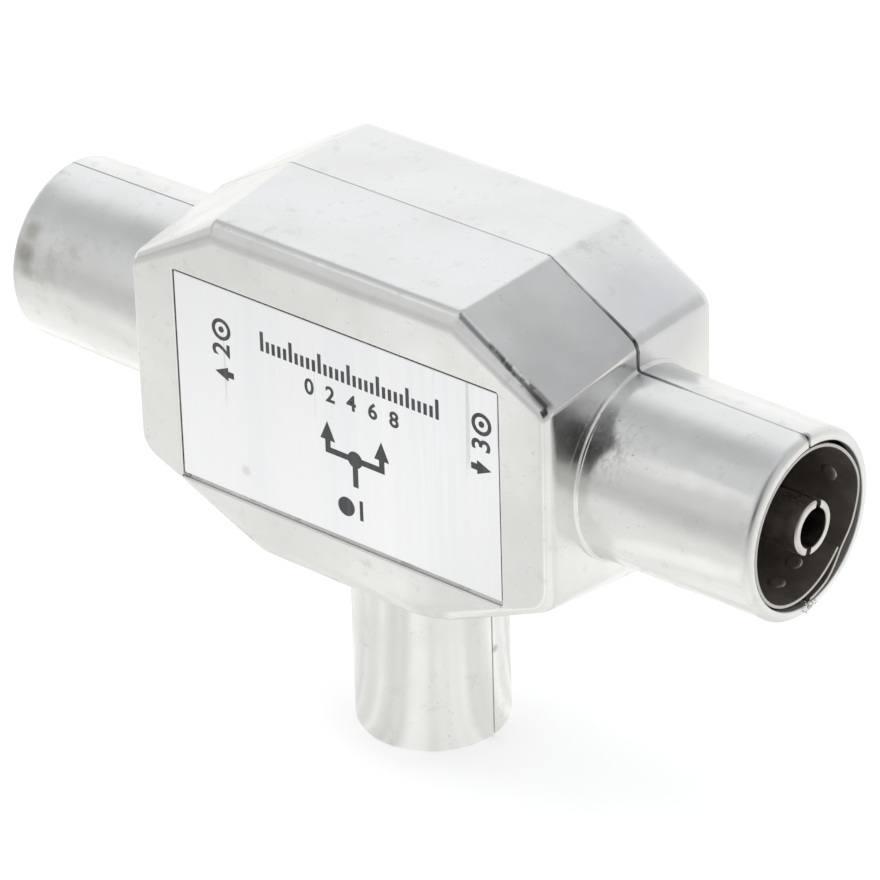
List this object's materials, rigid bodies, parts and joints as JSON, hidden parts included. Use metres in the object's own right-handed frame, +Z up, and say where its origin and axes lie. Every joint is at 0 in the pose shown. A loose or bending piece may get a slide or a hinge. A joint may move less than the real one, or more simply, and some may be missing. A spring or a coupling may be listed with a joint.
{
  "type": "coaxial splitter",
  "caption": "Small cast metal coaxial splitter with a socket at each side, a plug below and a brushed label plate in front.",
  "frame": {"origin": "centre of the input plug's rim, on the plane where the two case halves meet", "axes": "+X along the two output sockets, -Y out of the label side, +Z up, away from the input plug"},
  "size_m": [0.0566, 0.016, 0.0346],
  "materials": {
    "plated_case": "satin nickel plate on die-cast zinc",
    "label": "brushed lengthwise, dark grey print",
    "spring_sheet": "rolled tinned sheet",
    "contact_metal": "nickel plated, turned",
    "insulator": "moulded black",
    "board": "bare paper laminate",
    "ferrite": "sintered",
    "enamelled_wire": "clear enamel on copper",
    "resistor_body": "lacquered",
    "capacitor_body": "dipped"
  },
  "bodies": {
    "root": {"front_shell": "plated_case", "rear_shell": "plated_case", "label_plate": "label", "right_spring_sleeve": "spring_sheet", "left_spring_sleeve": "spring_sheet", "right_center_contact": "contact_metal", "left_center_contact": "contact_metal", "input_pin": "contact_metal", "right_insulator": "insulator", "left_insulator": "insulator", "input_insulator": "insulator", "circuit_board": "board", "input_core": "ferrite", "splitting_core": "ferrite", "input_winding": "enamelled_wire", "splitting_winding": "enamelled_wire", "isolation_resistor": "resistor_body", "input_capacitor": "capacitor_body"}
  },
  "joints": []
}
